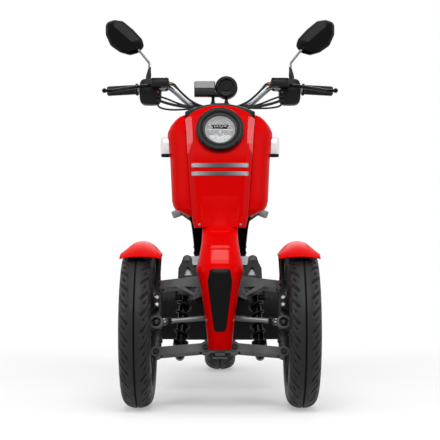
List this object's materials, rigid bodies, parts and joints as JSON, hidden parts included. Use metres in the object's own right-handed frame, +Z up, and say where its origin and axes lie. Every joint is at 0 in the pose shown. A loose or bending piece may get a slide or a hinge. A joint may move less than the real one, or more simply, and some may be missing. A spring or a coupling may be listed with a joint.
{
  "type": "electric three-wheel scooter",
  "caption": "Upright electric scooter with a pair of steered front wheels on raked forked arms, a driven rear wheel, a flat footboard and a hinged seat over a storage bay.",
  "frame": {"origin": "on the ground under the middle of the overall box", "axes": "+Z up, -Y the way it drives, +X the rider's left"},
  "size_m": [0.752, 1.8, 1.1979],
  "materials": {
    "red_paint": "gloss",
    "black_plastic": "satin",
    "cast_grey": "satin cast",
    "black_steel": "satin",
    "silver_steel": "satin",
    "chrome": "polished",
    "clear_lens": "clear",
    "red_lens": "gloss",
    "grip_rubber": "matt",
    "tyre_rubber": "matt",
    "seat_vinyl": "grained",
    "mirror_glass": "polished"
  },
  "bodies": {
    "frame": {"main_frame": "black_steel", "suspension_post": "cast_grey", "upper_arms": "cast_grey", "lower_arms": "cast_grey", "kingpins": "silver_steel", "pivot_pins": "black_steel", "front_dampers": "black_steel", "nose_cover": "red_paint", "nose_inlay": "black_plastic", "front_panel": "red_paint", "side_panels": "red_paint", "panel_strips": "silver_steel", "headlight_bezel": "black_plastic", "headlight_lamp": "silver_steel", "headlight_lens": "clear_lens", "front_indicators": "clear_lens", "leg_shield": "black_plastic", "top_cowl": "black_plastic", "footboard": "black_plastic", "belly_pan": "black_plastic", "battery": "cast_grey", "seat_tower": "black_plastic", "tail_panels": "red_paint", "tail_lamp": "red_lens", "rear_indicators": "clear_lens", "rear_mudguard": "black_plastic", "grab_rail": "black_steel", "swingarm": "cast_grey", "rear_dampers": "black_steel", "rear_caliper": "black_steel"},
    "seat": {"seat_base": "black_plastic", "seat_cushion": "seat_vinyl"},
    "steering": {"steering_column": "cast_grey", "handlebar": "chrome", "grips": "grip_rubber", "control_pods": "black_plastic", "brake_levers": "chrome", "mirrors": "black_plastic", "mirror_glasses": "mirror_glass", "instrument": "black_plastic", "cables": "black_plastic"},
    "knuckle_left": {"knuckle_left": "cast_grey", "fender_left": "red_paint", "caliper_left": "black_steel"},
    "knuckle_right": {"knuckle_right": "cast_grey", "fender_right": "red_paint", "caliper_right": "black_steel"},
    "tie_rod_left": {"tie_rod_left": "silver_steel"},
    "tie_rod_right": {"tie_rod_right": "silver_steel"},
    "wheel_left": {"tyre_left": "tyre_rubber", "rim_left": "cast_grey"},
    "wheel_right": {"tyre_right": "tyre_rubber", "rim_right": "cast_grey"},
    "wheel_rear": {"tyre_rear": "tyre_rubber", "rim_rear": "cast_grey"}
  },
  "joints": [
    {"name": "steering", "type": "hinge", "parent": "frame", "child": "steering", "pos_m": [0, -0.51184, 0.60288], "axis": [0, 0.342, 0.9397], "range_deg": [-32, 32]},
    {"name": "knuckle_left_turn", "type": "hinge", "parent": "frame", "child": "knuckle_left", "pos_m": [0.184, -0.6665, 0.2335], "axis": [0, 0.342, 0.9397], "range_deg": [-32, 32]},
    {"name": "knuckle_right_turn", "type": "hinge", "parent": "frame", "child": "knuckle_right", "pos_m": [-0.184, -0.6665, 0.2335], "axis": [0, 0.342, 0.9397], "range_deg": [-32, 32]},
    {"name": "tie_rod_left_swing", "type": "hinge", "parent": "steering", "child": "tie_rod_left", "pos_m": [0.012, -0.68307, 0.264], "axis": [0, 0.342, 0.9397], "range_deg": [-35, 35]},
    {"name": "tie_rod_right_swing", "type": "hinge", "parent": "steering", "child": "tie_rod_right", "pos_m": [-0.012, -0.68307, 0.264], "axis": [0, 0.342, 0.9397], "range_deg": [-35, 35]},
    {"name": "wheel_left_spin", "type": "hinge", "parent": "knuckle_left", "child": "wheel_left", "pos_m": [0.237, -0.6665, 0.2335], "axis": [1, 0, 0], "continuous": true},
    {"name": "wheel_right_spin", "type": "hinge", "parent": "knuckle_right", "child": "wheel_right", "pos_m": [-0.237, -0.6665, 0.2335], "axis": [1, 0, 0], "continuous": true},
    {"name": "wheel_rear_spin", "type": "hinge", "parent": "frame", "child": "wheel_rear", "pos_m": [0, 0.6135, 0.2365], "axis": [1, 0, 0], "continuous": true},
    {"name": "seat_lid", "type": "hinge", "parent": "frame", "child": "seat", "pos_m": [0, 0.2815, 0.722], "axis": [1, 0, 0], "range_deg": [0, 75]}
  ],
  "couplings": [
    {"joint": "knuckle_left_turn", "follows": "steering", "ratio": 1},
    {"joint": "knuckle_right_turn", "follows": "steering", "ratio": 1},
    {"joint": "tie_rod_left_swing", "follows": "steering", "ratio": -1.065},
    {"joint": "tie_rod_right_swing", "follows": "steering", "ratio": -1.065}
  ]
}
